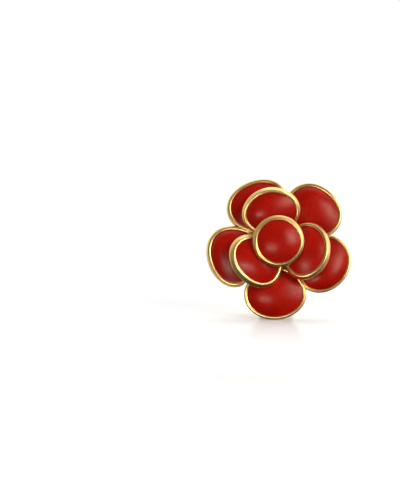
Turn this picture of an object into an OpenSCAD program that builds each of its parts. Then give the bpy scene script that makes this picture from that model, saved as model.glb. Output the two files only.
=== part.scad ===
// Clip-on flower earring: three layers of enamelled petal cups on a hinged ear clip.
// The flower is laid out with its face towards +Z and its top towards +Y, and the rim plane of
// the outer petals at Z = 0. The whole is then leant back onto its lowest petal and its clip.

/* [Flower] */
// Distance from the flower's axis to the middle of an outer petal
outer_reach = 7.9; // [7.4:0.1:9]
// Mean radius of an outer petal's enamel
outer_radius = 4.6; // [4:0.1:5]
// Distance from the flower's axis to the middle of an inner petal
inner_reach = 4.95; // [4.6:0.05:5.4]
// Mean radius of an inner petal's enamel
inner_radius = 3.9; // [3.4:0.1:4.2]
// Gap in height between the outer crowns and the backs of the inner cups
inner_rise = 0.2; // [0.2:0.05:0.6]
// Radius of the centre cup's enamel
dome_radius = 3.7; // [3:0.1:4.2]
// Gap in height between the inner crowns and the back of the centre cup
dome_rise = 0.5; // [0.5:0.05:1]

/* [Cups] */
// Width of the rounded gold bead round each enamel
bead_w = 0.52; // [0.4:0.02:0.7]
// Height of the bead above the enamel's edge
bead_h = 0.2; // [0.1:0.02:0.3]
// Depth of the groove between the bead and the side wall
groove = 0.1; // [0.04:0.01:0.14]
// How far the side wall flares out towards the back
flare_w = 0.28; // [0.1:0.02:0.4]
// Depth of an outer cup behind its rim
outer_depth = 1.3; // [1.1:0.05:1.5]
// Depth of an inner cup behind its rim
inner_depth = 1.2; // [1:0.05:1.3]
// Depth of the centre cup behind its rim
dome_depth = 0.75; // [0.7:0.05:0.85]
// Thickness of each cup's floor
floor_t = 0.4; // [0.3:0.05:0.5]
// How far each cup's back sits to the left of its rim
back_left = 0.13; // [0:0.01:0.2]
// How far each cup's back sits above its rim
back_up = 0.13; // [0:0.01:0.2]

/* [Enamel] */
// Height of the outer petals' enamel crown
outer_crown = 1.1; // [0.6:0.05:1.2]
// Height of the inner petals' enamel crown
inner_crown = 0.95; // [0.6:0.05:1.05]
// Height of the centre's enamel crown
dome_crown = 1.0; // [0.6:0.05:1.4]
// Gap between the enamel and its cup
enamel_gap = 0.02; // [0.01:0.01:0.05]

/* [Stem] */
// Diameter of the rivet stem through the layers
stem_d = 1.2; // [1:0.05:1.3]
// Radial gap round the stem
stem_gap = 0.03; // [0.02:0.01:0.06]

/* [Clip] */
// Width over the two lugs
clip_w = 6; // [5.4:0.1:7]
// Sideways place of the clip, to the left of the flower's axis
clip_left = 0.7; // [0:0.1:1.2]
// Height of the pin below the flower's axis
pin_drop = 8.65; // [8:0.05:9.4]
// Depth of the pin behind the outer rim plane
pin_back = 7.8; // [7:0.1:9]
// Radius of the lug discs, which also carry the earring when it stands
lug_r = 2.5; // [2.2:0.05:2.8]
// Thickness of a lug disc
lug_t = 0.95; // [0.7:0.05:1.3]
// Step from the lug's face down to the arm's
lug_step = 0.25; // [0.1:0.05:0.4]
// Height of the arms
arm_h = 3.9; // [3.4:0.1:4.4]
// Thickness of the arms
arm_t = 0.65; // [0.5:0.05:0.9]
// Thickness of the bracket's base on the flower's back
base_t = 0.7; // [0.5:0.05:1]
// Diameter of the hinge pin
pin_d = 1.5; // [1.2:0.05:1.7]
// Radial running gap between the pin and the paddle
pin_gap = 0.05; // [0.03:0.01:0.08]
// Diameter of the shallow recess round each end of the pin
recess_d = 2.1; // [2:0.05:2.3]
// Thickness of the paddle
paddle_t = 1.0; // [0.8:0.05:1.2]
// Width of the paddle
paddle_w = 5.4; // [4.6:0.1:6]
// Radius of the paddle's arch, outside
arch_r = 11.5; // [11:0.25:13]
// Gap between the closed paddle's tip and the flower's back
tip_gap = 0.35; // [0.3:0.05:1]

/* [Hidden] */

steps = 36;
round_fn = 96;
gold = "#d9b24c";
red = "#a11410";

// Columns of the petal tables. Bearings and tilts are in degrees, counted anticlockwise from the
// flower's right. REACH, HALF_L, HALF_W, LIFT and DEEP are shares of the layer's own sizes, and
// FLARE is a share of flare_w. EGG widens the outer end. FROM and TO are the bearings of the
// dividing rims to the neighbours.
AT = 0;
REACH = 1;
AIM = 2;
HALF_L = 3;
HALF_W = 4;
EGG = 5;
TIP_UP = 6;
SIDE_UP = 7;
LIFT = 8;
DEEP = 9;
FLARE = 10;
FROM = 11;
TO = 12;
//        AT   REACH  AIM  HALF_L HALF_W EGG  TIP_UP SIDE_UP LIFT DEEP FLARE FROM TO
OUTER = [
        [  45,   0.915,  47, 1.1,   0.99,  0.24,  0,   0,    0,   1,   0.6,   11,  81],
        [ 118.5, 0.955, 113, 0.915, 1.03,  0.14,  0,   0,    0,   1,   0.7,   81, 156],
        [-166.5, 0.93,  200, 1,     1,     0.24,  0,   0,    0,   1,   0.9,  156, 229],
        [ -94,   1.085, -88, 0.865, 1.055, 0.04, -4,   2,    0,   1,  -0.2,  229, 301],
        [ -23.5, 1.005, -38, 0.965, 1.025, 0.08, -2,   0,    0,   1,  -0.4,  301, 371]];
INNER = [
        [ 103.5, 1.085, 102, 0.87,  1.115, -0.06, 22,  -2,   1.06, 0.8,  0.7,   0, 0],
        [-138,   0.925,-137, 0.895, 1.055, 0.14,   9,  -8,   1.08, 0.86, 1.5,   0, 0],
        [ -18,   0.98,   -4, 0.9,   1.1,  -0.04,  17,  -4,   1.08, 1.04, 1,     0, 0]];
DOME = [-67.5,   0.075,  90, 1,     0.99, 0,       5.5, 0,    1,   1,    0.7,   0, 0];

// Layers: reach, petal radius, lift, cup depth, enamel crown, and how near the cups come to the axis
L_REACH = 0;
L_RADIUS = 1;
L_LIFT = 2;
L_DEPTH = 3;
L_CROWN = 4;
L_NEAR = 5;
outer_near = 3.4;
inner_lift = outer_crown + inner_rise + inner_depth;
dome_lift = inner_lift + inner_crown + dome_rise + dome_depth;
OUTER_LAYER = [outer_reach, outer_radius, 0, outer_depth, outer_crown, outer_near];
INNER_LAYER = [inner_reach, inner_radius, inner_lift, inner_depth, inner_crown, 0];
DOME_LAYER = [dome_radius, dome_radius, dome_lift, dome_depth, dome_crown, 0];

// Half of the rim that two neighbouring petals share, and their overlap there
shared = 0.3;
lap = 0.05;

function along(bearing) = [cos(bearing), sin(bearing)];

// Distance from the petal's middle to its enamel's edge at angle t round it, before any clipping
function egg_point(row, radius, t) =
    [row[HALF_L] * radius * cos(t), row[HALF_W] * radius * sin(t) * (1 + row[EGG] * cos(t))];

// Limit of a ray from the petal's middle, set by a straight border d away along the normal n
edge_on = 0.001;
no_limit = 1000;
function to_border(d, n, e) = n * e > edge_on ? d / (n * e) : no_limit;

// Ray length at angle t for a ring that lies o outside the enamel's edge
function ring_reach(row, layer, t, o) = let(
    p = egg_point(row, layer[L_RADIUS], t),
    free = norm(p) + o,
    turn = atan2(p[1], p[0]) + row[AIM],
    e = along(turn),
    middle = row[REACH] * layer[L_REACH] * along(row[AT]),
    from_n = along(row[FROM] - 90),
    to_n = along(row[TO] + 90),
    near_n = -along(row[AT]),
    step = min(o - shared, lap))
    row[FROM] == row[TO] ? free : min(free,
        to_border(step - from_n * middle, from_n, e),
        to_border(step - to_n * middle, to_n, e),
        to_border(o - bead_w - layer[L_NEAR] - near_n * middle, near_n, e));

// A ring of points round the petal, in its own plane, at height z, drawn in to the share f
function ring(row, layer, o, z, f = 1) = [for (i = [0:steps - 1]) let(
    t = 360 * i / steps,
    p = egg_point(row, layer[L_RADIUS], t),
    r = f * ring_reach(row, layer, t, o),
    turn = atan2(p[1], p[0]))
    [r * cos(turn), r * sin(turn), z]];

// Axes of a petal: along its length, across it, and out of its face
function length_axis(row) =
    [cos(row[AIM]) * cos(row[TIP_UP]), sin(row[AIM]) * cos(row[TIP_UP]), sin(row[TIP_UP])];
function flat_face_axis(row) =
    [-cos(row[AIM]) * sin(row[TIP_UP]), -sin(row[AIM]) * sin(row[TIP_UP]), cos(row[TIP_UP])];
function cross_axis(row) =
    cos(row[SIDE_UP]) * [-sin(row[AIM]), cos(row[AIM]), 0] + sin(row[SIDE_UP]) * flat_face_axis(row);
function face_axis(row) = cross(length_axis(row), cross_axis(row));
function middle_of(row, layer) = let(m = row[REACH] * layer[L_REACH] * along(row[AT]))
    [m[0], m[1], row[LIFT] * layer[L_LIFT]];

// From the petal's own plane to the flower. Below its rim a cup slants towards its shifted back.
back_shift = [-back_left, back_up, 0];
function cup_depth(row, layer) = row[DEEP] * layer[L_DEPTH];
function place(row, layer, p) = middle_of(row, layer)
    + p[0] * length_axis(row) + p[1] * cross_axis(row) + p[2] * face_axis(row)
    + max(0, -p[2]) / cup_depth(row, layer) * back_shift;

// Section of a cup from its back edge up the wall, round the groove, over the bead and down to
// the floor, as [distance outside the enamel's edge, height above the rim plane]. The bead's
// points are shares of bead_w and bead_h, and the groove's are shares of groove.
edge_r = 0.16;
bulge_w = 0.04;
BEAD = [[1, -0.1], [0.875, 0.72], [0.5, 1], [0.175, 0.8], [0, 0]];
GROOVE = [[-0.5, -3.2], [-1.2, -2.2]];
function cup_section(row, layer) = let(
    d = cup_depth(row, layer),
    wall = bead_w - groove / 2,
    back = bead_w + flare_w * row[FLARE])
    concat(
        [[back - edge_r, -d],
        [back, edge_r - d],
        [(wall + back) / 2 + bulge_w, -d / 2 - 2 * groove]],
        [for (g = GROOVE) [bead_w + g[0] * groove, g[1] * groove]],
        [for (b = BEAD) [b[0] * bead_w, b[1] * bead_h]],
        [[0, floor_t - d]]);

// Height of the enamel at the share f of the way from its middle to its edge
function crown_z(row, layer, f) = let(
    r = sqrt(row[HALF_L] * row[HALF_W]) * layer[L_RADIUS],
    h = layer[L_CROWN],
    ball = (r * r + h * h) / (2 * h))
    sqrt(ball * ball - f * f * r * r) - (ball - h);
crown_shares = [1, 0.9, 0.72, 0.48, 0.24];
function enamel_rings(row, layer) = concat(
    [ring(row, layer, -enamel_gap, floor_t - cup_depth(row, layer) + enamel_gap)],
    [for (f = crown_shares) ring(row, layer, -enamel_gap, crown_z(row, layer, f), f)]);
function cup_rings(row, layer) = [for (s = cup_section(row, layer)) ring(row, layer, s[0], s[1])];
function flat_points(rings, row, layer) = [for (r = rings) for (p = r) place(row, layer, p)];

// Skin over a stack of rings, closed by a flat face at the first and by a flat face or a fan
module skin(rings, row, layer, tip = []) {
    n = steps;
    last = len(rings) - 1;
    sides = [for (k = [0:last - 1]) for (i = [0:n - 1]) let(j = (i + 1) % n)
        each [[k * n + i, (k + 1) * n + j, k * n + j], [k * n + i, (k + 1) * n + i, (k + 1) * n + j]]];
    bottom = [[for (i = [0:n - 1]) i]];
    top = len(tip) == 0 ? [[for (i = [n - 1:-1:0]) last * n + i]]
        : [for (i = [0:n - 1]) [last * n + i, (last + 1) * n, last * n + (i + 1) % n]];
    polyhedron(points = concat(flat_points(rings, row, layer), tip), faces = concat(bottom, sides, top));
}

module cup(row, layer) {
    skin(cup_rings(row, layer), row, layer);
}

module enamel(row, layer) {
    color(red)
        skin(enamel_rings(row, layer), row, layer, [place(row, layer, [0, 0, layer[L_CROWN]])]);
}

// Hubs, discs and rivet that stack the layers. Solids that join reach sunk into each other, and
// cuts reach past the metal.
sunk = 0.03;
past = 1;
back_z = -outer_depth;
plate_r = 4.7;
outer_hub_r = 2.3;
outer_hub_h = 0.75;
outer_hub_top = back_z + outer_hub_h;
seat_gap = 0.02;
inner_hub_r = 1.4;
inner_hub_top = inner_lift - inner_depth;
inner_disc_r = 2.6;
disc_step = 1;
inner_disc_top = inner_hub_top - disc_step;
stem_r = stem_d / 2;
stem_hole_r = stem_r + stem_gap;
rivet_r = 1.05;
rivet_t = 0.3;

// Pin, its fit in the lugs, and the recess round each of its ends
pin_r = pin_d / 2;
pin_fit = 0.02;
recess_t = 0.3;
pin_short = 0.12;

// Bracket, as half widths across and heights in the flower's plane
half_w = clip_w / 2;
lug_in = half_w - lug_t;
lug_front = 0.9 * lug_r;
arm_out = half_w - lug_step;
arm_in = arm_out - arm_t;
foot_y = -pin_drop - lug_r;
arm_foot = foot_y + 0.08 * lug_r;
arm_top = arm_foot + arm_h;
base_top = -4.4;
web_t = 0.45;
web_end = pin_back - 0.88 * lug_r;

// Window in each arm
window_h = 1.5;
window_l = 1.7;
window_y = arm_foot + 0.6;
window_z = outer_depth + base_t + 1;

// Paddle: knuckle on the pin, straight plate above its neck, and arch
side_gap = 0.06;
knuckle_r = 1.7;
knuckle_half = lug_in - side_gap;
neck_gap = 0.45;
neck_y = -pin_drop + lug_r + neck_gap;
plate_z = pin_back + 0.6 * knuckle_r;
arch_y = -3.5;
arch_z = plate_z - arch_r;
tip_z = outer_depth + tip_gap;

// Moves the clip's pieces sideways to their place
module clip_place() {
    translate([-clip_left, 0, 0]) children();
}

// Cylinder on the pin's axis from x0 to x1
module on_pin(x0, x1, r) {
    translate([x0, -pin_drop, -pin_back])
        rotate([0, 90, 0])
            cylinder(r = r, h = x1 - x0, $fn = round_fn);
}

// Box given by its limits along x, y and z
module block(x, y, z) {
    translate([x[0], y[0], z[0]])
        cube([x[1] - x[0], y[1] - y[0], z[1] - z[0]]);
}

// Solid between x = -half and x = half over an outline of depth against height
module across(half) {
    rotate([0, 90, 0])
        translate([0, 0, -half])
            linear_extrude(height = 2 * half)
                children();
}

// The right-hand arm of the bracket, with its window, lug disc and bore
module arm() {
    difference() {
        union() {
            difference() {
                block([arm_in, arm_out], [arm_foot, arm_top], [-pin_back, back_z - base_t / 2]);
                block([arm_in - past, arm_out + past], [window_y, window_y + window_h],
                    [-window_z - window_l, -window_z]);
            }
            on_pin(lug_in, half_w, lug_r);
            block([lug_in, half_w], [foot_y, -pin_drop], [-pin_back, -pin_back + lug_front]);
        }
        on_pin(lug_in - past, half_w + past, pin_r + pin_fit);
        on_pin(half_w - recess_t, half_w + past, recess_d / 2);
    }
}

// Ear clip's bracket: base on the flower's back, web between the arms, and the two arms
module bracket() {
    block([-arm_out, arm_out], [arm_foot, base_top], [back_z - base_t, back_z + sunk]);
    block([-arm_in - sunk, arm_in + sunk], [arm_foot, arm_foot + web_t],
        [-web_end, back_z - base_t + sunk]);
    arm();
    mirror([1, 0, 0]) arm();
}

// Five outer cups cast on a back plate and hub, with the bracket soldered on
module outer_rosette() {
    color(gold)
        difference() {
            union() {
                for (row = OUTER) cup(row, OUTER_LAYER);
                translate([0, 0, back_z])
                    cylinder(r = plate_r, h = floor_t - sunk, $fn = round_fn);
                translate([0, 0, back_z])
                    cylinder(r = outer_hub_r, h = outer_hub_top - back_z, $fn = round_fn);
                clip_place() bracket();
            }
            translate([0, 0, back_z - past])
                cylinder(r = stem_hole_r, h = outer_hub_top - back_z + 2 * past, $fn = round_fn);
        }
}

// Three inner cups on a disc and hub that sit on the outer hub
module inner_rosette() {
    seat = outer_hub_top + seat_gap;
    color(gold)
        difference() {
            union() {
                for (row = INNER) cup(row, INNER_LAYER);
                translate([0, 0, seat])
                    cylinder(r = inner_disc_r, h = inner_disc_top - seat, $fn = round_fn);
                translate([0, 0, seat])
                    cylinder(r = inner_hub_r, h = inner_hub_top - seat, $fn = round_fn);
            }
            translate([0, 0, seat - past])
                cylinder(r = stem_hole_r, h = inner_hub_top - seat + 2 * past, $fn = round_fn);
        }
}

// Centre cup with the rivet stem that holds the layers
module dome_cup() {
    foot = back_z - seat_gap - rivet_t;
    top = dome_lift - dome_depth + floor_t / 2;
    color(gold) {
        cup(DOME, DOME_LAYER);
        translate([0, 0, foot]) cylinder(r = stem_r, h = top - foot, $fn = round_fn);
        translate([0, 0, foot]) cylinder(r = rivet_r, h = rivet_t, $fn = round_fn);
    }
}

module hinge_pin() {
    color(gold)
        clip_place() on_pin(-half_w + pin_short, half_w - pin_short, pin_r);
}

// Side outline of the paddle's plate: straight above the neck, then arched in to the tip
module paddle_side() {
    translate([plate_z - paddle_t, neck_y]) square([paddle_t, arch_y - neck_y + sunk]);
    intersection() {
        translate([arch_z, arch_y])
            difference() {
                circle(r = arch_r, $fn = 2 * round_fn);
                circle(r = arch_r - paddle_t, $fn = 2 * round_fn);
            }
        translate([tip_z, arch_y]) square([plate_z, arch_r]);
    }
}

// Outline of the paddle seen from behind, with a round tip
module paddle_plan() {
    tip_y = arch_y + sqrt(pow(arch_r - paddle_t, 2) - pow(tip_z - arch_z, 2));
    middle_y = tip_y - paddle_w / 2;
    translate([-paddle_w / 2, neck_y]) square([paddle_w, middle_y - neck_y]);
    translate([0, middle_y]) circle(r = paddle_w / 2, $fn = round_fn);
}

// Arched paddle with its knuckle on the pin
module clip_paddle() {
    color(gold)
        clip_place() difference() {
            union() {
                intersection() {
                    across(paddle_w / 2) paddle_side();
                    translate([0, 0, -plate_z - past])
                        linear_extrude(height = plate_z + past) paddle_plan();
                }
                block([-knuckle_half, knuckle_half], [-pin_drop, neck_y + sunk],
                    [-plate_z, paddle_t - plate_z]);
                on_pin(-knuckle_half, knuckle_half, knuckle_r);
            }
            on_pin(-half_w, half_w, pin_r + pin_gap);
        }
}

module enamel_top_right() { enamel(OUTER[0], OUTER_LAYER); }
module enamel_top_left() { enamel(OUTER[1], OUTER_LAYER); }
module enamel_left() { enamel(OUTER[2], OUTER_LAYER); }
module enamel_bottom() { enamel(OUTER[3], OUTER_LAYER); }
module enamel_right() { enamel(OUTER[4], OUTER_LAYER); }
module enamel_inner_top() { enamel(INNER[0], INNER_LAYER); }
module enamel_inner_left() { enamel(INNER[1], INNER_LAYER); }
module enamel_inner_right() { enamel(INNER[2], INNER_LAYER); }
module enamel_centre() { enamel(DOME, DOME_LAYER); }

// Standing: the earring leans back until its lugs and its lowest petal touch the same floor.
// A point's height and its depth from front to back, at the angle lean. The range of angles is
// halved until it is narrower than close.
function height_at(p, lean) = p[1] * cos(lean) + p[2] * sin(lean);
function depth_at(p, lean) = p[1] * sin(lean) - p[2] * cos(lean);
lowest_cup = flat_points(cup_rings(OUTER[3], OUTER_LAYER), OUTER[3], OUTER_LAYER);
pin_at = [0, -pin_drop, -pin_back];
function petal_foot(lean) = min([for (p = lowest_cup) height_at(p, lean)]);
function lug_foot(lean) = height_at(pin_at, lean) - lug_r;
close = 0.000005;
function find_lean(low, high) = let(mid = (low + high) / 2)
    high - low < close ? mid
    : petal_foot(mid) < lug_foot(mid) ? find_lean(mid, high)
    : find_lean(low, mid);
most_lean = 45;
lean = find_lean(0, most_lean);

// Middle of the earring's box, for an origin under its middle
outer_points = [for (row = OUTER) each flat_points(cup_rings(row, OUTER_LAYER), row, OUTER_LAYER)];
inner_points = [for (row = INNER) each flat_points(cup_rings(row, INNER_LAYER), row, INNER_LAYER)];
crown_points = concat(
    flat_points(enamel_rings(DOME, DOME_LAYER), DOME, DOME_LAYER),
    [place(DOME, DOME_LAYER, [0, 0, dome_crown])]);
wide_points = concat(outer_points, inner_points);
front_points = concat(wide_points, crown_points);
arch_at = [0, arch_y, -arch_z];
left_x = min([for (p = wide_points) p[0]]);
right_x = max([for (p = wide_points) p[0]]);
front_y = min([for (p = front_points) depth_at(p, lean)]);
back_y = max(depth_at(pin_at, lean) + lug_r, depth_at(arch_at, lean) + arch_r);

// Stands the flower on the floor, with its face to the front
module standing() {
    translate([-(left_x + right_x) / 2, -(front_y + back_y) / 2, -lug_foot(lean)])
        rotate([90 - lean, 0, 0])
            children();
}

standing() outer_rosette();
standing() inner_rosette();
standing() dome_cup();
standing() enamel_top_right();
standing() enamel_top_left();
standing() enamel_left();
standing() enamel_bottom();
standing() enamel_right();
standing() enamel_inner_top();
standing() enamel_inner_left();
standing() enamel_inner_right();
standing() enamel_centre();
standing() hinge_pin();
standing() clip_paddle();
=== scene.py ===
"""A clip-on flower earring standing on a pale floor: three layers of red enamel petals in gold
cups, with a hinged ear clip behind. Sizes are in millimetres until a mesh is made."""
import math

import bmesh
import bpy
import numpy as np
from mathutils import Matrix, Vector, noise


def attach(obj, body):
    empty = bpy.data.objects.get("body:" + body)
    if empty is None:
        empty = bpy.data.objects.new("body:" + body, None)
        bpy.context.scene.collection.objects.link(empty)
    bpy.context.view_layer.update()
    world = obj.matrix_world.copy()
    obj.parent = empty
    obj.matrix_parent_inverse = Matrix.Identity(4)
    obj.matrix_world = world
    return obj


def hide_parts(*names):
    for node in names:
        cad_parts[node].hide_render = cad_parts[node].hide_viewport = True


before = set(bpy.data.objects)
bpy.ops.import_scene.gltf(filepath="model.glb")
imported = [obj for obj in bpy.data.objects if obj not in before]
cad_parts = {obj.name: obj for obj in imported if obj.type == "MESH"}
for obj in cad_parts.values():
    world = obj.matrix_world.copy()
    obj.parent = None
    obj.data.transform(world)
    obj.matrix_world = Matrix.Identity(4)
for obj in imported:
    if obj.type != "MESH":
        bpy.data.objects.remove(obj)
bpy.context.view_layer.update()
MM = 0.001

# The flower's own frame: x to its right, y to its top, z out of its face, in mm
LEAN = math.radians(13.9681)
FLOWER_AT = Vector((0.147624, -1.1828, 12.777))
STAND = Matrix.Translation(FLOWER_AT) @ Matrix.Rotation(math.radians(90) - LEAN, 4, "X")
STAND_NP = np.array(STAND)


def stand(points):
    """Points of the flower's frame, in mm, as world points in metres."""
    p = np.asarray(points, float)
    return (p @ STAND_NP[:3, :3].T + STAND_NP[:3, 3]) * MM


def show(name, data):
    """A new object in the scene."""
    obj = bpy.data.objects.new(name, data)
    bpy.context.scene.collection.objects.link(obj)
    return obj


# Camera: its place, its upward and backward directions in the flower's frame, the turn that moves
# the flower to the right of the picture, and its lens and sensor in mm
CAMERA_AT = Vector((8.83, -43.25, 245.62))
CAMERA_UP = Vector((0, 0.98485, 0.17342))
CAMERA_BACK = Vector((0.03538, -0.17331, 0.98423))
SIDE_TURN = math.radians(3.149)
LENS = 105.7
SENSOR = 36
NEAREST = 10


def make_camera():
    data = bpy.data.cameras.new("camera")
    data.lens = LENS
    data.sensor_width = SENSOR
    data.sensor_fit = "AUTO"
    data.clip_start = NEAREST * MM
    camera = show("camera", data)
    back = Matrix.Rotation(SIDE_TURN, 3, CAMERA_UP) @ CAMERA_BACK
    right = CAMERA_UP.cross(back).normalized()
    up = back.cross(right)
    axes_in_flower = Matrix((right, up, back)).transposed().to_4x4()
    camera.matrix_world = STAND @ Matrix.Translation(CAMERA_AT) @ axes_in_flower
    camera.location *= MM
    bpy.context.scene.camera = camera


make_camera()

# Petals. at is the turn of the petal's middle round the flower and aim that of its tip, both in
# degrees. reach, half_l, half_w, lift and deep are shares of the layer's sizes, and flare is a
# share of FLARE_W. egg makes the tip's end wider, and tip_up and side_up tilt the petal, in
# degrees. A petal with neighbours keeps to the sector from start to end.
COLUMNS = ("at", "reach", "aim", "half_l", "half_w", "egg", "tip_up", "side_up", "lift", "deep",
           "flare", "start", "end")


def petal(*values):
    return dict(zip(COLUMNS, values))


OUTER = {
    "top_right": petal(45, 0.915, 47, 1.1, 0.99, 0.24, 0, 0, 0, 1, 0.6, 11, 81),
    "top_left": petal(118.5, 0.955, 113, 0.915, 1.03, 0.14, 0, 0, 0, 1, 0.7, 81, 156),
    "left": petal(-166.5, 0.93, 200, 1, 1, 0.24, 0, 0, 0, 1, 0.9, 156, 229),
    "bottom": petal(-94, 1.085, -88, 0.865, 1.055, 0.04, -4, 2, 0, 1, -0.2, 229, 301),
    "right": petal(-23.5, 1.005, -38, 0.965, 1.025, 0.08, -2, 0, 0, 1, -0.4, 301, 371),
}
INNER = {
    "inner_top": petal(103.5, 1.085, 102, 0.87, 1.115, -0.06, 22, -2, 1.06, 0.8, 0.7, 0, 0),
    "inner_left": petal(-138, 0.925, -137, 0.895, 1.055, 0.14, 9, -8, 1.08, 0.86, 1.5, 0, 0),
    "inner_right": petal(-18, 0.98, -4, 0.9, 1.1, -0.04, 17, -4, 1.08, 1.04, 1, 0, 0),
}
CENTRE = {"centre": petal(-67.5, 0.075, 90, 1, 0.99, 0, 5.5, 0, 1, 1, 0.7, 0, 0)}
OUTER_LAYER = dict(reach=7.9, radius=4.6, lift=0, depth=1.3, crown=1.1, near=3.4)
INNER_LAYER = dict(reach=4.95, radius=3.9, lift=2.5, depth=1.2, crown=0.95, near=0)
CENTRE_LAYER = dict(reach=3.7, radius=3.7, lift=4.7, depth=0.75, crown=1.0, near=0)

# Gold cups: the rounded rim round the enamel, the wall behind it, the floor under the enamel, and
# how far a cup's back lies off its rim
BEAD_W = 0.52
BEAD_H = 0.17
BEAD_FOOT = -0.02
CREST = 0.22
LIP = 0.06
WALL_TOP = -0.12
FLARE_W = 0.28
BELLY = 0.07
EDGE_R = 0.32
FLOOR_T = 0.4
BACK_SHIFT = np.array((-0.13, 0.13, 0))
BACK_Z = -1.3

# The enamel's edge ends SHARED before the line between neighbours, and their gold laps it by LAP
SHARED = 0.3
LAP = 0.05
BLEND = 0.3
EDGE_ON = 0.001
NO_LIMIT = 1000

# Ripples of the outline, of the rim's width and of its height: size and lumps round the petal
OUTLINE_RIPPLE = (0.05, 1.6)
WIDTH_RIPPLE = (0.16, 1.3)
HEIGHT_RIPPLE = (0.06, 1.9)
NEXT_RIPPLE = 40
SEED_STEP = 7.3
WIDTH_RIPPLE_FROM = -0.25
HEIGHT_RIPPLE_FROM = -0.1

# Enamel: its gap to the gold, the thin edge that climbs against the rim, the crowns' peaks off the
# petals' middles, how much higher a crown is, and how much deeper the edge lies at a petal's tip
ENAMEL_GAP = 0.012
CLIMB_H = 0.02
CLIMB_W = 0.03
PEAKS = {"left": (-1.5, 1.0), "top_right": (0.4, 1.5), "right": (0.7, -1.45),
         "bottom": (-0.7, -0.5), "inner_left": (0.5, -0.3), "inner_top": (-0.9, -0.35)}
FULLER = {"inner_top": 1.22}
SUNK = {"inner_top": 0.17, "top_left": 0.04}

# Points round a petal, rings of a crown and the share of the innermost one, and the angles beyond
# which an edge stays sharp, in degrees
AROUND = 180
CROWN_RINGS = 40
INNERMOST = 0.03
SHARP = 35.0
SHARP_SHEET = 40
SHARP_GLOSS = 60.0


def along(degrees):
    """The direction at an angle, and so its cosine and sine."""
    a = math.radians(degrees)
    return np.array((math.cos(a), math.sin(a)))


def axes(p):
    """The petal's axes in the flower: along its length, across it, and out of its face."""
    c, s = along(p["aim"])
    ct, st = along(p["tip_up"])
    cs, ss = along(p["side_up"])
    length = np.array((c * ct, s * ct, st))
    flat_face = np.array((-c * st, -s * st, ct))
    across = cs * np.array((-s, c, 0)) + ss * flat_face
    return length, across, np.cross(length, across)


def middle(p, layer):
    """The petal's middle, in the plane of its rim."""
    m = p["reach"] * layer["reach"] * along(p["at"])
    return np.array((m[0], m[1], p["lift"] * layer["lift"]))


def smooth_min(a, b, k):
    """The smaller of a and b, blended where they differ by less than k."""
    h = np.clip(0.5 + 0.5 * (b - a) / k, 0, 1)
    return b * (1 - h) + a * h - k * h * (1 - h)


def turns(n):
    """n angles round a full turn."""
    return np.linspace(0, 2 * math.pi, n, endpoint=False)


def wave(seed, t, size, lumps):
    """A slow ripple round the petal, the same at 0 and 360 degrees."""
    z = SEED_STEP * seed
    places = [Vector((lumps * math.cos(a), lumps * math.sin(a), z)) for a in t]
    return np.array([size * noise.noise(place) for place in places])


class Outline:
    """The petal's outline as seen from its middle, at any distance outside the enamel's edge."""

    def __init__(self, p, layer, seed):
        t = turns(AROUND)
        x = p["half_l"] * layer["radius"] * np.cos(t)
        y = p["half_w"] * layer["radius"] * np.sin(t) * (1 + p["egg"] * np.cos(t))
        self.p, self.layer = p, layer
        self.free = np.hypot(x, y) + wave(seed, t, *OUTLINE_RIPPLE)
        self.turn = np.arctan2(y, x)
        self.wide = 1 + wave(seed + NEXT_RIPPLE, t, *WIDTH_RIPPLE)
        self.tall = wave(seed + 2 * NEXT_RIPPLE, t, *HEIGHT_RIPPLE)
        self.place = middle(p, layer), axes(p)

    def reach(self, o):
        """Distances from the petal's middle, o outside the enamel's edge, held in its sector."""
        p, layer = self.p, self.layer
        r = self.free + o
        if p["start"] == p["end"]:
            return r
        e = np.stack((np.cos(self.turn + math.radians(p["aim"])),
                      np.sin(self.turn + math.radians(p["aim"]))), 1)
        m = p["reach"] * layer["reach"] * along(p["at"])
        step = min(o - SHARED, LAP)
        borders = ((along(p["start"] - 90), step), (along(p["end"] + 90), step),
                   (-along(p["at"]), o - BEAD_W - layer["near"]))
        for n, d in borders:
            facing = e @ n
            limit = (d - n @ m) / np.maximum(facing, EDGE_ON)
            r = smooth_min(r, np.where(facing > EDGE_ON, limit, NO_LIMIT), BLEND)
        return r

    def ring(self, o, z, f=1.0):
        """Points round the petal, o outside the enamel's edge, at height z, drawn in to share f.
        The distance o and the height z may change round the petal."""
        o = np.asarray(o) + np.zeros(AROUND)
        mean = float(o.mean())
        r = f * (self.reach(mean) + o - mean)
        at, (length, across, face) = self.place
        z = z + np.zeros(AROUND)
        return (at + (r * np.cos(self.turn))[:, None] * length
                + (r * np.sin(self.turn))[:, None] * across + z[:, None] * face
                + self.slant(z)[:, None] * BACK_SHIFT)

    def slant(self, z):
        """Share of the back's shift at height z: none at the rim, all of it at the cup's back."""
        return np.maximum(0, -np.asarray(z)) / (self.p["deep"] * self.layer["depth"])

    def axis_point(self, z):
        """Point on the petal's own axis at height z."""
        at, (length, across, face) = self.place
        return at + z * face + self.slant(z) * BACK_SHIFT


def arc(cx, cz, rx, rz, a0, a1, n):
    """Points of an elliptical arc from a0 to a1 degrees."""
    a = np.radians(np.linspace(a0, a1, n))
    return [(cx + rx * math.cos(b), cz + rz * math.sin(b)) for b in a]


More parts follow.
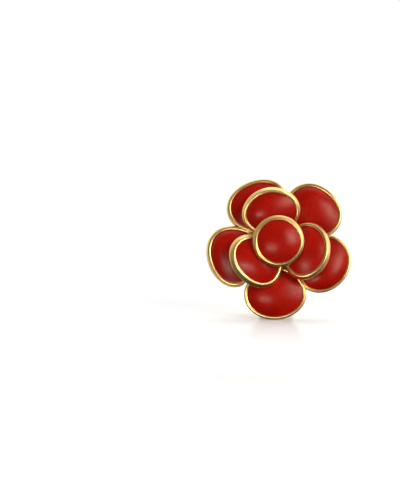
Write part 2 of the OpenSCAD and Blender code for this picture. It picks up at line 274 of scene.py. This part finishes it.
def cup_section(p, layer):
    """From the back edge up the wall, over the rounded rim and down to the floor."""
    d = p["deep"] * layer["depth"]
    back = BEAD_W + FLARE_W * p["flare"]
    rise = BEAD_H - BEAD_FOOT
    points = arc(back - EDGE_R, EDGE_R - d, EDGE_R, EDGE_R, -90, 0, 6)
    for k in range(1, 8):
        f = k / 7
        points.append((back + (BEAD_W - back) * f + BELLY * math.sin(math.pi * f),
                       EDGE_R - d + (WALL_TOP - EDGE_R + d) * f))
    points += arc(CREST, BEAD_FOOT, BEAD_W - CREST, rise, 0, 90, 12)
    points += arc(CREST, BEAD_FOOT, CREST + LIP, rise, 100, 180, 9)
    points.append((-LIP, FLOOR_T - d))
    return points


def finish_mesh(mesh, sharp=SHARP, weld=None):
    """Joins points that lie within weld, turns the faces outwards and shades them."""
    bm = bmesh.new()
    bm.from_mesh(mesh)
    if weld:
        bmesh.ops.remove_doubles(bm, verts=bm.verts, dist=weld)
    bmesh.ops.recalc_face_normals(bm, faces=bm.faces)
    bm.to_mesh(mesh)
    bm.free()
    shade(mesh, sharp)


def shade(mesh, sharp=SHARP):
    """Smooth shading, but for the edges beyond the angle sharp."""
    mesh.polygons.foreach_set("use_smooth", [True] * len(mesh.polygons))
    mesh.set_sharp_from_angle(angle=math.radians(sharp))
    mesh.update()


def build(name, verts, faces, sharp=SHARP):
    """A mesh object from world points in metres."""
    mesh = bpy.data.meshes.new(name)
    mesh.from_pydata([tuple(v) for v in verts], [], faces)
    mesh.validate()
    finish_mesh(mesh, sharp)
    return show(name, mesh)


def skin(rings, first=None, last=None, closed=False):
    """Vertices and faces over a stack of rings. first and last are the points that close its
    ends, and closed joins the last ring to the first."""
    n, m = len(rings[0]), len(rings)
    verts = [v for r in rings for v in r]
    faces = []
    for k in range(m if closed else m - 1):
        a, b = k * n, ((k + 1) % m) * n
        for i in range(n):
            j = (i + 1) % n
            faces.append((a + i, a + j, b + j, b + i))
    if first is not None:
        verts.append(first)
        faces += [(i, len(verts) - 1, (i + 1) % n) for i in range(n)]
    if last is not None:
        verts.append(last)
        a = (m - 1) * n
        faces += [(a + i, a + (i + 1) % n, len(verts) - 1) for i in range(n)]
    return verts, faces


def make_cup(name, p, layer, seed):
    """Gold cup with a rippled rim, and the outline that its enamel follows."""
    outline = Outline(p, layer, seed)
    rings = []
    for o, z in cup_section(p, layer):
        over = max(0.0, min(1.0, (z - HEIGHT_RIPPLE_FROM) / BEAD_H))
        wide = o * outline.wide if z > WIDTH_RIPPLE_FROM else o
        rings.append(outline.ring(wide, z + over * outline.tall))
    d = p["deep"] * layer["depth"]
    verts, faces = skin([stand(r) for r in rings], stand(outline.axis_point(-d)),
                        stand(outline.axis_point(FLOOR_T - d)))
    return build(name, verts, faces), outline


def make_enamel(name, outline):
    """Domed enamel with a thin raised edge where it meets the gold. The crown's peak may stand
    off the middle, and the edge may lie deeper at the petal's tip."""
    p, layer = outline.p, outline.layer
    d = p["deep"] * layer["depth"]
    r = math.sqrt(p["half_l"] * p["half_w"]) * layer["radius"]
    h = layer["crown"] * FULLER.get(name, 1)
    ball = (r * r + h * h) / (2 * h)
    floor = FLOOR_T - d + ENAMEL_GAP
    peak = np.array((*PEAKS.get(name, (0, 0)), 0))
    tip = np.maximum(0, np.cos(outline.turn)) ** 2 * SUNK.get(name, 0)
    edge_in = -LIP - ENAMEL_GAP
    rings = [outline.ring(edge_in, floor)]
    for f in np.linspace(1, INNERMOST, CROWN_RINGS):
        z = math.sqrt(ball * ball - (f * r) ** 2) - (ball - h)
        edge = CLIMB_H * math.exp((f - 1) / CLIMB_W) - tip * f ** 6
        rings.append(outline.ring(edge_in, z + edge, f) + (1 - f * f) * peak)
    verts, faces = skin([stand(q) for q in rings], stand(outline.axis_point(floor)),
                        stand(outline.axis_point(h) + peak))
    return build("gloss_" + name, verts, faces, SHARP_GLOSS)


def combine(base, others, operation):
    """Unites the base with the others, or cuts them from it, and removes them."""
    for other in others:
        mod = base.modifiers.new("combine", "BOOLEAN")
        mod.operation = operation
        mod.solver = "MANIFOLD"
        mod.object = other
    graph = bpy.context.evaluated_depsgraph_get()
    mesh = bpy.data.meshes.new_from_object(base.evaluated_get(graph))
    base.modifiers.clear()
    old = base.data
    base.data = mesh
    bpy.data.meshes.remove(old)
    for other in others:
        bpy.data.objects.remove(other, do_unlink=True)
    shade(mesh)
    return base


def unite(name, objects):
    """One closed mesh from overlapping closed ones."""
    base = combine(objects[0], objects[1:], "UNION")
    base.name = name
    base.data.name = name
    return base


Z_AXIS, X_AXIS, Y_AXIS = (0, 0, 1), (1, 0, 0), (0, 1, 0)


def lathe(name, section, at, axis, side, n=96):
    """Turns a section of (radius, along) round an axis through at, in the flower's frame. A
    section that starts or ends on the axis is closed there."""
    at, axis, side = (np.array(v, float) for v in (at, axis, side))
    third = np.cross(axis, side)
    t = turns(n)
    circle = np.cos(t)[:, None] * side + np.sin(t)[:, None] * third
    first = last = None
    rings = []
    for k, (r, h) in enumerate(section):
        if r == 0 and k == 0:
            first = stand(at + h * axis)
        elif r == 0:
            last = stand(at + h * axis)
        else:
            rings.append(stand(at + r * circle + h * axis))
    return build(name, *skin(rings, first, last))


def rod(name, r, half, at, n=96):
    """A plain cylinder along the flower's x, half its length to each side of at."""
    return lathe(name, [(0, -half), (r, -half), (r, half), (0, half)], at, X_AXIS, Y_AXIS, n)


# Clip sizes: its middle, and the pin
CLIP_X = -0.7
PIN_Y = -8.65
PIN_Z = -7.8
PIN_R = 0.75
PIN_FIT = 0.02
PIN_GAP = 0.05
PIN_SHORT = 0.12
PIN_EDGE = 0.12

# The bracket's lugs, with a straight front up to FRONT_TO of their radius, and a recess
HALF_W = 3.0
LUG_R = 2.5
LUG_T = 0.95
LUG_FRONT = 2.25
FRONT_TO = 0.5
LUG_STEP = 0.25
LUG_EDGE = 0.12
LUG_IN = HALF_W - LUG_T
LUG_POINTS = 128
RECESS_R = 1.05
RECESS_T = 0.3
RECESS_LIP = 0.09

# The bracket's arms, with a window each, the web between them and the base on the flower's back
ARM_T = 0.65
ARM_OUT = HALF_W - LUG_STEP
ARM_IN = ARM_OUT - ARM_T
ARM_START = 1.6
ARM_PAST = 0.4
ARM_HOLE = 0.3
ARM_EDGE = 0.09
CORNER = 0.3
FOOT_Y = PIN_Y - LUG_R
ARM_FOOT = FOOT_Y + 0.2
ARM_TOP = ARM_FOOT + 3.9
WEB_T = 0.45
WEB_START = 1.8
WEB_END = 5.6
WEB_CORNER = 0.12
WEB_EDGE = 0.06
WINDOW_H = 1.5
WINDOW_L = 1.7
WINDOW_Y = ARM_FOOT + 0.6
WINDOW_Z = 3.0
BASE_TOP = -4.4
BASE_T = 0.7
BASE_CORNER = 0.5
SUNK_IN = 0.15

# The paddle: knuckle, neck, arch and round tip
KNUCKLE_R = 1.7
KNUCKLE_EDGE = 0.1
KNUCKLE_GAP = 0.06
KNUCKLE_HALF = LUG_IN - KNUCKLE_GAP
PADDLE_T = 1.0
PADDLE_W = 5.4
NECK_Y = PIN_Y + LUG_R + 0.45
NECK_LAP = 0.6
NECK_CORNER = 0.1
NECK_EDGE = 0.08
NECK_SHARE = 0.86
NECK_L = 1.2
PLATE_Z = 8.82
ARCH_R = 11.5
ARCH_Y = -3.5
ARCH_Z = PLATE_Z - ARCH_R
TIP_Z = 1.65
TIP_L = 0.35
TIP_SHORT = math.radians(1.2)
SHEET_START = 0.02
START_L = 0.2
START_THIN = 0.05
NARROWEST = 0.05
THINNEST = 0.03
SQUARENESS = 0.4

# Plate, hubs and rivet that carry the cups. Plate and rivet stand proud of the cups' backs.
PROUD = 0.02
SEAT_GAP = 0.02
PLATE_R = 4.7
PLATE_T = 0.37
PLATE_EDGE = 0.1
HUB_R = 2.3
HUB_TOP = -0.55
HUB_EDGE = 0.05
FILLET = (0.15, 0.13)
INNER_HUB_R = 2.6
INNER_HUB_T = 0.83
INNER_HUB_EDGE = 0.1
POST_R = 1.4
POST_TOP = 1.3
RIVET_HEAD_R = 1.05
RIVET_HEAD_T = 0.3
RIVET_ROUND_R = 0.3
RIVET_ROUND_H = 0.18
RIVET_SIDE = 0.15
RIVET_MIDDLE = 0.05
RIVET_R = 0.6
RIVET_TOP = 4.1

# Distance in metres within which a plate's points are joined
WELD = 2e-7


def make_lug(side):
    """Lug disc with a straight front and a flat foot, its recess and its bore."""
    t = turns(LUG_POINTS)
    front, up = np.cos(t), np.sin(t)
    some_front, some_down = np.maximum(front, 1e-6), np.maximum(-up, 1e-6)
    corner = np.minimum(LUG_FRONT / some_front, LUG_R / some_down)
    outer = np.where((front > 0) & (up < 0), corner, LUG_R)
    too_far = (outer * front > LUG_FRONT) & (up < FRONT_TO)
    outer = np.where(too_far, LUG_FRONT / some_front, outer)
    bore = PIN_R + PIN_FIT
    edge = [(LUG_EDGE * (1 - math.cos(a)), LUG_EDGE * (1 - math.sin(a)))
            for a in np.radians((0, 30, 60, 90))]
    section = [(bore, LUG_IN, 0)]
    section += [(None, LUG_IN + x, inset) for x, inset in edge]
    section += [(None, HALF_W - x, inset) for x, inset in edge[::-1]]
    section += [(RECESS_R + 0.8 * RECESS_LIP, HALF_W, 0),
                (RECESS_R + 0.2 * RECESS_LIP, HALF_W - RECESS_LIP / 3, 0),
                (RECESS_R, HALF_W - RECESS_LIP, 0), (RECESS_R, HALF_W - RECESS_T, 0),
                (bore, HALF_W - RECESS_T, 0)]
    rings = []
    for r, x, inset in section:
        radius = outer - inset if r is None else np.full(t.shape, r)
        across = np.full(t.shape, CLIP_X + side * x)
        rings.append(stand(np.stack((across, PIN_Y + radius * up, PIN_Z + radius * front), 1)))
    return build("lug", *skin(rings, closed=True))


def plate(name, outline, holes, x0, x1, bevel, axis="x"):
    """A flat plate with rounded edges. Its outlines are (depth, height) for axis x, or (x, y) for
    axis z, and x0 and x1 are its two faces."""
    curve = bpy.data.curves.new(name, "CURVE")
    curve.dimensions = "2D"
    curve.fill_mode = "BOTH"
    curve.extrude = (x1 - x0) / 2 - bevel
    curve.bevel_depth = bevel
    curve.bevel_resolution = 3
    curve.offset = -bevel
    for points in [outline] + holes:
        spline = curve.splines.new("POLY")
        spline.points.add(len(points) - 1)
        for q, (a, b) in zip(spline.points, points):
            q.co = (a, b, 0, 1)
        spline.use_cyclic_u = True
    obj = show(name, curve)
    bpy.context.view_layer.update()
    graph = bpy.context.evaluated_depsgraph_get()
    mesh = bpy.data.meshes.new_from_object(obj.evaluated_get(graph))
    bpy.data.objects.remove(obj, do_unlink=True)
    co = np.zeros(len(mesh.vertices) * 3)
    mesh.vertices.foreach_get("co", co)
    co = co.reshape(-1, 3)
    mid = (x0 + x1) / 2
    if axis == "x":
        world = stand(np.stack((co[:, 2] + mid, co[:, 1], -co[:, 0]), 1))
    else:
        world = stand(np.stack((co[:, 0], co[:, 1], co[:, 2] + mid), 1))
    mesh.vertices.foreach_set("co", world.ravel())
    finish_mesh(mesh, weld=WELD)
    return show(name, mesh)


def rounded(x0, x1, y0, y1, r):
    """Rectangle with round corners, anticlockwise."""
    points = []
    for cx, cy, a in ((x1 - r, y0 + r, -90), (x1 - r, y1 - r, 0), (x0 + r, y1 - r, 90),
                      (x0 + r, y0 + r, 180)):
        points += arc(cx, cy, r, r, a, a + 90, 6)
    return points


def make_arm(side):
    """One side of the bracket, with its window and a hole for the lug's bore."""
    outline = rounded(ARM_START, -PIN_Z + ARM_PAST, ARM_FOOT, ARM_TOP, CORNER)
    window = rounded(WINDOW_Z, WINDOW_Z + WINDOW_L, WINDOW_Y, WINDOW_Y + WINDOW_H, CORNER)[::-1]
    a, b = sorted((side * ARM_IN, side * ARM_OUT))
    arm = plate("arm", outline, [window], CLIP_X + a, CLIP_X + b, ARM_EDGE)
    at = (CLIP_X + side * (ARM_IN + ARM_OUT) / 2, PIN_Y, PIN_Z)
    return combine(arm, [rod("bore", PIN_R + ARM_HOLE, 1, at)], "DIFFERENCE")


def make_bracket():
    """Bracket on the flower's back: base, web, two arms and two lugs."""
    outline = rounded(CLIP_X - ARM_OUT, CLIP_X + ARM_OUT, ARM_FOOT, BASE_TOP, BASE_CORNER)
    base = plate("base", outline, [], BACK_Z - BASE_T, BACK_Z + SUNK_IN, ARM_EDGE, "z")
    outline = rounded(WEB_START, WEB_END, ARM_FOOT, ARM_FOOT + WEB_T, WEB_CORNER)
    web = plate("web", outline, [], CLIP_X - ARM_IN - LAP, CLIP_X + ARM_IN + LAP, WEB_EDGE)
    parts = [base, web]
    for side in (1, -1):
        parts += [make_arm(side), make_lug(side)]
    return unite("ear_clip_bracket", parts)


def make_plate():
    """Back plate and hub that carry the outer cups."""
    low, top = BACK_Z - PROUD, BACK_Z + PLATE_T
    wide, high = FILLET
    section = [(0, low)]
    section += arc(PLATE_R - PLATE_EDGE, low + PLATE_EDGE, PLATE_EDGE, PLATE_EDGE, -90, 0, 5)
    section += [(PLATE_R, top), (HUB_R + wide, top), (HUB_R + HUB_EDGE, top + HUB_EDGE),
                (HUB_R, top + high), (HUB_R, HUB_TOP - HUB_EDGE), (HUB_R - HUB_EDGE, HUB_TOP),
                (0, HUB_TOP)]
    return lathe("back_plate", section, (0, 0, 0), Z_AXIS, X_AXIS, 160)


def make_rivet():
    """Head of the rivet on the flower's back, and its stem through the layers."""
    low = BACK_Z - RIVET_HEAD_T - PROUD
    top = low + RIVET_HEAD_T
    section = [(0, low - RIVET_MIDDLE)]
    section += arc(RIVET_HEAD_R - RIVET_ROUND_R, low + RIVET_SIDE, RIVET_ROUND_R, RIVET_ROUND_H,
                   -90, 0, 8)
    section += [(RIVET_HEAD_R, top), (RIVET_R, top), (RIVET_R, RIVET_TOP), (0, RIVET_TOP)]
    return lathe("rivet", section, (0, 0, 0), Z_AXIS, X_AXIS, 72)


def make_inner_hub():
    """Hub and post that carry the inner cups."""
    low = HUB_TOP + SEAT_GAP
    top = low + INNER_HUB_T
    edge = INNER_HUB_EDGE
    section = [(0, low), (INNER_HUB_R - edge, low), (INNER_HUB_R, low + edge),
               (INNER_HUB_R, top - edge), (INNER_HUB_R - edge, top), (POST_R, top),
               (POST_R, POST_TOP), (0, POST_TOP)]
    return lathe("inner_hub", section, (0, 0, 0), Z_AXIS, X_AXIS)


def make_pin():
    """Hinge pin with softly rounded ends."""
    end = HALF_W - PIN_SHORT
    right = arc(PIN_R - PIN_EDGE, end - PIN_EDGE, PIN_EDGE, PIN_EDGE, 0, 90, 5)
    section = [(0, -end)] + [(r, -z) for r, z in right[::-1]] + right + [(0, end)]
    return lathe("hinge_pin_piece", section, (CLIP_X, PIN_Y, PIN_Z), X_AXIS, Y_AXIS, 64)


def squarish(values):
    """Turns a circle's sines or cosines into those of a rounded rectangle."""
    return np.sign(values) * np.abs(values) ** SQUARENESS


def make_sheet():
    """The paddle's plate, swept up from its neck over the arch to its round tip."""
    mid_r = ARCH_R - PADDLE_T / 2
    end_angle = math.acos((TIP_Z - ARCH_Z) / mid_r) - TIP_SHORT
    start = NECK_Y + SHEET_START
    line = [(PLATE_Z - PADDLE_T / 2, y, 0.0) for y in np.linspace(start, ARCH_Y, 14)[:-1]]
    line += [(ARCH_Z + mid_r * math.cos(a), ARCH_Y + mid_r * math.sin(a), a)
             for a in np.linspace(0, end_angle, 60)]
    steps = [math.dist(a[:2], b[:2]) for a, b in zip(line, line[1:])]
    far = np.concatenate(([0], np.cumsum(steps)))
    t = turns(48)
    x, z = squarish(np.cos(t)), squarish(np.sin(t))
    half = PADDLE_W / 2
    rings = []
    for (depth, y, a), gone in zip(line, far):
        left = far[-1] - gone
        short = max(0.0, half - left)
        w = math.sqrt(max(half ** 2 - short ** 2, NARROWEST ** 2))
        w *= min(1.0, NECK_SHARE + (1 - NECK_SHARE) * gone / NECK_L)
        thin = min(1.0, math.sqrt(left / TIP_L), math.sqrt((gone + START_THIN) / START_L))
        out = max(PADDLE_T / 2 * thin, THINNEST) * z
        rings.append(stand(np.stack((CLIP_X + w * x, y + out * math.sin(a),
                                     -depth - out * math.cos(a)), 1)))
    return build("sheet", *skin(rings, rings[0].mean(0), rings[-1].mean(0)), SHARP_SHEET)


def make_paddle():
    """Arched paddle with the knuckle that turns on the pin."""
    at = (CLIP_X, PIN_Y, PIN_Z)
    end, edge = KNUCKLE_HALF, KNUCKLE_EDGE
    section = [(0, -end), (KNUCKLE_R - edge, -end), (KNUCKLE_R, edge - end),
               (KNUCKLE_R, end - edge), (KNUCKLE_R - edge, end), (0, end)]
    knuckle = lathe("knuckle", section, at, X_AXIS, Y_AXIS)
    outline = rounded(PLATE_Z - PADDLE_T, PLATE_Z, PIN_Y, NECK_Y + NECK_LAP, NECK_CORNER)
    neck = plate("neck", outline, [], CLIP_X - end, CLIP_X + end, NECK_EDGE)
    solid = unite("paddle", [make_sheet(), knuckle, neck])
    return combine(solid, [rod("bore", PIN_R + PIN_GAP, HALF_W, at, 64)], "DIFFERENCE")


# Materials
class Nodes:
    """A material's nodes, with helpers that add them and link them."""

    def __init__(self, name):
        self.material = bpy.data.materials.new(name)
        self.material.use_nodes = True
        self.tree = self.material.node_tree
        self.tree.nodes.clear()
        out = self.add("ShaderNodeOutputMaterial")
        self.shader = self.add("ShaderNodeBsdfPrincipled")
        self.link(self.shader.outputs[0], out.inputs[0])
        self.place = self.add("ShaderNodeTexCoord").outputs["Object"]

    def add(self, kind, **values):
        node = self.tree.nodes.new(kind)
        for key, value in values.items():
            setattr(node, key, value)
        return node

    def link(self, a, b):
        self.tree.links.new(a, b)

    def noise(self, scale, detail, rough=0.5, stretch=None):
        """Cloudy values, drawn out along the flower's axes by stretch."""
        node = self.add("ShaderNodeTexNoise")
        node.inputs["Scale"].default_value = scale
        node.inputs["Detail"].default_value = detail
        node.inputs["Roughness"].default_value = rough
        if stretch:
            mapping = self.add("ShaderNodeMapping")
            mapping.inputs["Scale"].default_value = stretch
            mapping.inputs["Rotation"].default_value = (LEAN, 0, 0)
            self.link(self.place, mapping.inputs["Vector"])
            self.link(mapping.outputs[0], node.inputs["Vector"])
        else:
            self.link(self.place, node.inputs["Vector"])
        return node.outputs["Fac"]

    def spread(self, value, low, high, a=0.3, b=0.7):
        """Values from a to b, spread over low to high."""
        node = self.add("ShaderNodeMapRange", interpolation_type="SMOOTHSTEP")
        for socket, v in (("From Min", a), ("From Max", b), ("To Min", low), ("To Max", high)):
            node.inputs[socket].default_value = v
        self.link(value, node.inputs["Value"])
        return node.outputs[0]

    def mix(self, factor, low, high):
        """Colour between low and high."""
        node = self.add("ShaderNodeMix", data_type="RGBA")
        for socket, v in ((node.inputs["Factor"], factor), (node.inputs[6], low),
                          (node.inputs[7], high)):
            if isinstance(v, bpy.types.NodeSocket):
                self.link(v, socket)
            else:
                socket.default_value = (*v, 1)
        return node.outputs[2]

    def bump(self, height, strength, distance, before=None):
        """Relief of the height, on top of the relief before it."""
        node = self.add("ShaderNodeBump")
        node.inputs["Strength"].default_value = strength
        node.inputs["Distance"].default_value = distance
        self.link(height, node.inputs["Height"])
        if before is not None:
            self.link(before, node.inputs["Normal"])
        return node.outputs[0]


# Colours: the painted shade that darkens the gold in its crevices and seams is a share of the
# deeper gold
CAST_LIGHT, CAST_DEEP = (1.0, 0.69, 0.28), (0.94, 0.61, 0.21)
CLIP_LIGHT, CLIP_DEEP = (1.0, 0.74, 0.35), (0.94, 0.67, 0.27)
CREVICE_SHADE = (0.52, 0.4, 0.28)
CREVICE_SHADE_REACH = 0.5
RED_DEEP, RED_LIGHT = (0.39, 0.0052, 0.0012), (0.47, 0.007, 0.0017)
SPECK = (0.22, 0.002, 0.002)
GLOSS_IOR = 1.32
GLOSS_TINT = (1, 0.93, 0.78, 1)

# Depths of relief, in mm
RIPPLE = 0.012
BRUSHING = 0.006
PORES = 0.006
PEEL = 0.008


def gold_material(name, light, deep, rough_low, rough_high, brushed):
    """Gold plating: cloudy colour, uneven polish, cast ripple, and painted shade that ambient
    occlusion lays into its crevices and seams.
    """
    m = Nodes(name)
    s = m.shader.inputs
    s["Metallic"].default_value = 1.0
    cloud = m.noise(260, 3)
    colour = m.mix(m.spread(cloud, 0.0, 1.0), deep, light)
    # Painted shade: the colour darkens where ambient occlusion finds crevices and seams, where
    # shade falls
    crevice_occlusion = m.add("ShaderNodeAmbientOcclusion", samples=32)
    crevice_occlusion.inputs["Distance"].default_value = CREVICE_SHADE_REACH * MM
    dark = m.spread(crevice_occlusion.outputs["AO"], 1.0, 0.0, 0.15, 0.75)
    colour = m.mix(dark, colour, tuple(k * c for k, c in zip(CREVICE_SHADE, deep)))
    m.link(colour, s["Base Color"])
    polish = m.noise(1500, 4, 0.6)
    m.link(m.spread(polish, rough_low, rough_high), s["Roughness"])
    normal = m.bump(m.noise(900, 2), 0.35, RIPPLE * MM)
    if brushed:
        normal = m.bump(m.noise(2500, 3, 0.6, (1, 0.12, 1)), 0.3, BRUSHING * MM, normal)
    pores = m.spread(m.noise(5200, 2), 0.0, 1.0, 0.62, 0.75)
    m.link(m.bump(pores, 0.12, PORES * MM, normal), s["Normal"])
    return m.material


def enamel_material(name):
    """Deep red glossy enamel: faint clouding, orange peel and tiny dark specks."""
    m = Nodes(name)
    s = m.shader.inputs
    cloud = m.noise(330, 4, 0.55)
    colour = m.mix(m.spread(cloud, 0.0, 1.0), RED_DEEP, RED_LIGHT)
    specks = m.noise(7000, 2)
    colour = m.mix(m.spread(specks, 0.0, 0.35, 0.66, 0.76), colour, SPECK)
    m.link(colour, s["Base Color"])
    m.link(m.spread(m.noise(1200, 3), 0.26, 0.34), s["Roughness"])
    s["IOR"].default_value = GLOSS_IOR
    s["Specular Tint"].default_value = GLOSS_TINT
    m.link(m.bump(m.noise(700, 2), 0.4, PEEL * MM), s["Normal"])
    return m.material


GOLD = gold_material("gold_cast", CAST_LIGHT, CAST_DEEP, 0.29, 0.38, False)
CLIP_GOLD = gold_material("gold_stamped", CLIP_LIGHT, CLIP_DEEP, 0.2, 0.3, True)
ENAMEL = enamel_material("enamel_red")


def dress(obj, material, body, node):
    """Gives the piece its material, puts it on the body that carries it, and hides the part that
    it takes the place of.
    """
    obj.data.materials.clear()
    obj.data.materials.append(material)
    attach(obj, body)
    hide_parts(node)


# The earring
def make_flower():
    """Three groups of cups in gold, each on what carries it, and an enamel fill for each cup."""
    seed = 1
    outlines = {}
    groups = {}
    for group, petals, layer in (("outer", OUTER, OUTER_LAYER), ("inner", INNER, INNER_LAYER),
                                 ("centre", CENTRE, CENTRE_LAYER)):
        cups = []
        for name, p in petals.items():
            cup, outlines[name] = make_cup("cup_" + name, p, layer, seed)
            cups.append(cup)
            seed += 1
        groups[group] = cups
    outer = unite("outer_cups", groups["outer"] + [make_plate()])
    dress(outer, GOLD, "flower", "outer_rosette")
    inner = unite("inner_cups", groups["inner"] + [make_inner_hub()])
    dress(inner, GOLD, "flower", "inner_rosette")
    centre = unite("centre_cup", groups["centre"] + [make_rivet()])
    dress(centre, GOLD, "flower", "dome_cup")
    for name, outline in outlines.items():
        piece = make_enamel(name, outline)
        dress(piece, ENAMEL, "flower", "enamel_" + name)


def make_clip():
    """Bracket and pin, which stay with the flower, and the paddle, which swings."""
    dress(make_bracket(), CLIP_GOLD, "flower", "outer_rosette")
    dress(make_pin(), CLIP_GOLD, "flower", "hinge_pin")
    dress(make_paddle(), CLIP_GOLD, "paddle", "clip_paddle")


make_flower()
make_clip()


# Studio: the ground's radius is in metres, heights and the card's corners in mm, and the top ring
# of the dome in degrees above the ground
GROUND_R = 1.1
ROUND = 96
DOME_TOP = 88
DOME_RINGS = 12
STAGE_ROUGH = 0.12
STAGE_IOR = 1.05
FLOOR_SHADE, FLOOR_GLOW = 0.9, 0.13
BACKDROP_SHADE, BACKDROP_GLOW = 0, 1.05
TABLE_SHADE, TABLE_Z = 0.7, -0.4
CARD_SHADE, CARD_Z = 0.05, -0.2
CARD = (-300, 300, -500, -1)
WARM = (1, 0.965, 0.9)


def make_stage(name, verts, faces, grey, glow=0):
    """A plain piece of the studio, of one grey, that may glow."""
    mesh = bpy.data.meshes.new(name)
    mesh.from_pydata(verts, [], faces)
    piece = show(name, mesh)
    m = Nodes(name)
    s = m.shader.inputs
    s["Base Color"].default_value = (grey, grey, grey, 1)
    s["Roughness"].default_value = STAGE_ROUGH
    s["IOR"].default_value = STAGE_IOR
    s["Emission Color"].default_value = (1, 1, 1, 1)
    s["Emission Strength"].default_value = glow
    mesh.materials.append(m.material)
    return piece


def round_sheet(height):
    verts = [(GROUND_R * math.cos(a), GROUND_R * math.sin(a), height * MM) for a in turns(ROUND)]
    return verts, [tuple(range(ROUND))]


def box_sheet(x0, x1, y0, y1, height):
    verts = [(x * MM, y * MM, height * MM) for x, y in ((x0, y0), (x1, y0), (x1, y1), (x0, y1))]
    return verts, [(0, 1, 2, 3)]


def dome_sheet():
    t = turns(ROUND)
    rings = []
    for lift in np.linspace(0, DOME_TOP, DOME_RINGS):
        r, z = GROUND_R * along(lift)
        rings.append(np.stack((r * np.cos(t), r * np.sin(t), np.full(ROUND, z)), 1))
    verts, faces = skin(rings, None, (0, 0, GROUND_R))
    return [tuple(v) for v in verts], faces


def only_for_the_eye(piece):
    """The camera sees the piece, but it lights, shades and is mirrored in nothing."""
    piece.visible_glossy = False
    piece.visible_diffuse = False
    piece.visible_shadow = False


def make_studio():
    """A white floor and backdrop for the eye. The gold mirrors another table under them, with a
    dark card in front that gives the rims their dark undersides."""
    only_for_the_eye(make_stage("floor", *round_sheet(0), FLOOR_SHADE, FLOOR_GLOW))
    only_for_the_eye(make_stage("backdrop", *dome_sheet(), BACKDROP_SHADE, BACKDROP_GLOW))
    table = make_stage("table", *round_sheet(TABLE_Z), TABLE_SHADE)
    card = make_stage("dark_card", *box_sheet(*CARD, CARD_Z), CARD_SHADE)
    table.visible_camera = card.visible_camera = False


def area_light(name, at, aim, size, power):
    """A soft box at a place in mm, of a size in mm, that shines towards aim."""
    data = bpy.data.lights.new(name, "AREA")
    data.shape = "RECTANGLE"
    data.size, data.size_y = size[0] * MM, size[1] * MM
    data.energy = power
    data.color = WARM
    lamp = show(name, data)
    at, aim = Vector(at) * MM, Vector(aim) * MM
    lamp.location = at
    lamp.rotation_euler = (aim - at).to_track_quat("-Z", "Y").to_euler()
    lamp.visible_camera = False


def sun_light(name, turn, strength, angle):
    """Light from far away, from a patch of sky as wide as the angle, in degrees."""
    data = bpy.data.lights.new(name, "SUN")
    data.energy = strength
    data.angle = math.radians(angle)
    lamp = show(name, data)
    lamp.rotation_euler = [math.radians(a) for a in turn]


# The room's light is a sum of ramps along the world's axes: from, to, and the light at each end
WORLD_RAMPS = (
    ("Y", -0.4, 0.15, 0.05, 0.85),
    ("Y", 0.6, 0.95, 0.0, 0.4),
    ("X", 0.3, 0.8, 0.0, 0.5),
)


def make_world():
    """A soft room, dark behind the camera, white behind the object and lighter on its right."""
    world = bpy.data.worlds.new("studio")
    bpy.context.scene.world = world
    world.use_nodes = True
    tree = world.node_tree
    tree.nodes.clear()
    out = tree.nodes.new("ShaderNodeOutputWorld")
    back = tree.nodes.new("ShaderNodeBackground")
    back.inputs["Color"].default_value = (1, 1, 1, 1)
    coord = tree.nodes.new("ShaderNodeTexCoord")
    split = tree.nodes.new("ShaderNodeSeparateXYZ")
    tree.links.new(coord.outputs["Generated"], split.inputs[0])
    so_far = None
    for axis, start, end, low, high in WORLD_RAMPS:
        ramp = tree.nodes.new("ShaderNodeMapRange")
        ramp.interpolation_type = "SMOOTHSTEP"
        for socket, v in (("From Min", start), ("From Max", end),
                          ("To Min", low), ("To Max", high)):
            ramp.inputs[socket].default_value = v
        tree.links.new(split.outputs[axis], ramp.inputs["Value"])
        total = tree.nodes.new("ShaderNodeMath")
        total.inputs[0].default_value = 0
        if so_far:
            tree.links.new(so_far, total.inputs[0])
        tree.links.new(ramp.outputs[0], total.inputs[1])
        so_far = total.outputs[0]
    tree.links.new(so_far, back.inputs["Strength"])
    tree.links.new(back.outputs[0], out.inputs[0])


make_studio()
make_world()
sun_light("overhead", turn=(-20, 5, 0), strength=0.58, angle=50)
area_light("right_box", at=(185, -230, 135), aim=(0, 0, 13), size=(130, 170), power=0.58)
area_light("left_card", at=(-21, -57, 7), aim=(0, -4, 14), size=(26, 11), power=0.01)

scene = bpy.context.scene
scene.view_settings.view_transform = "Standard"
scene.view_settings.look = "None"
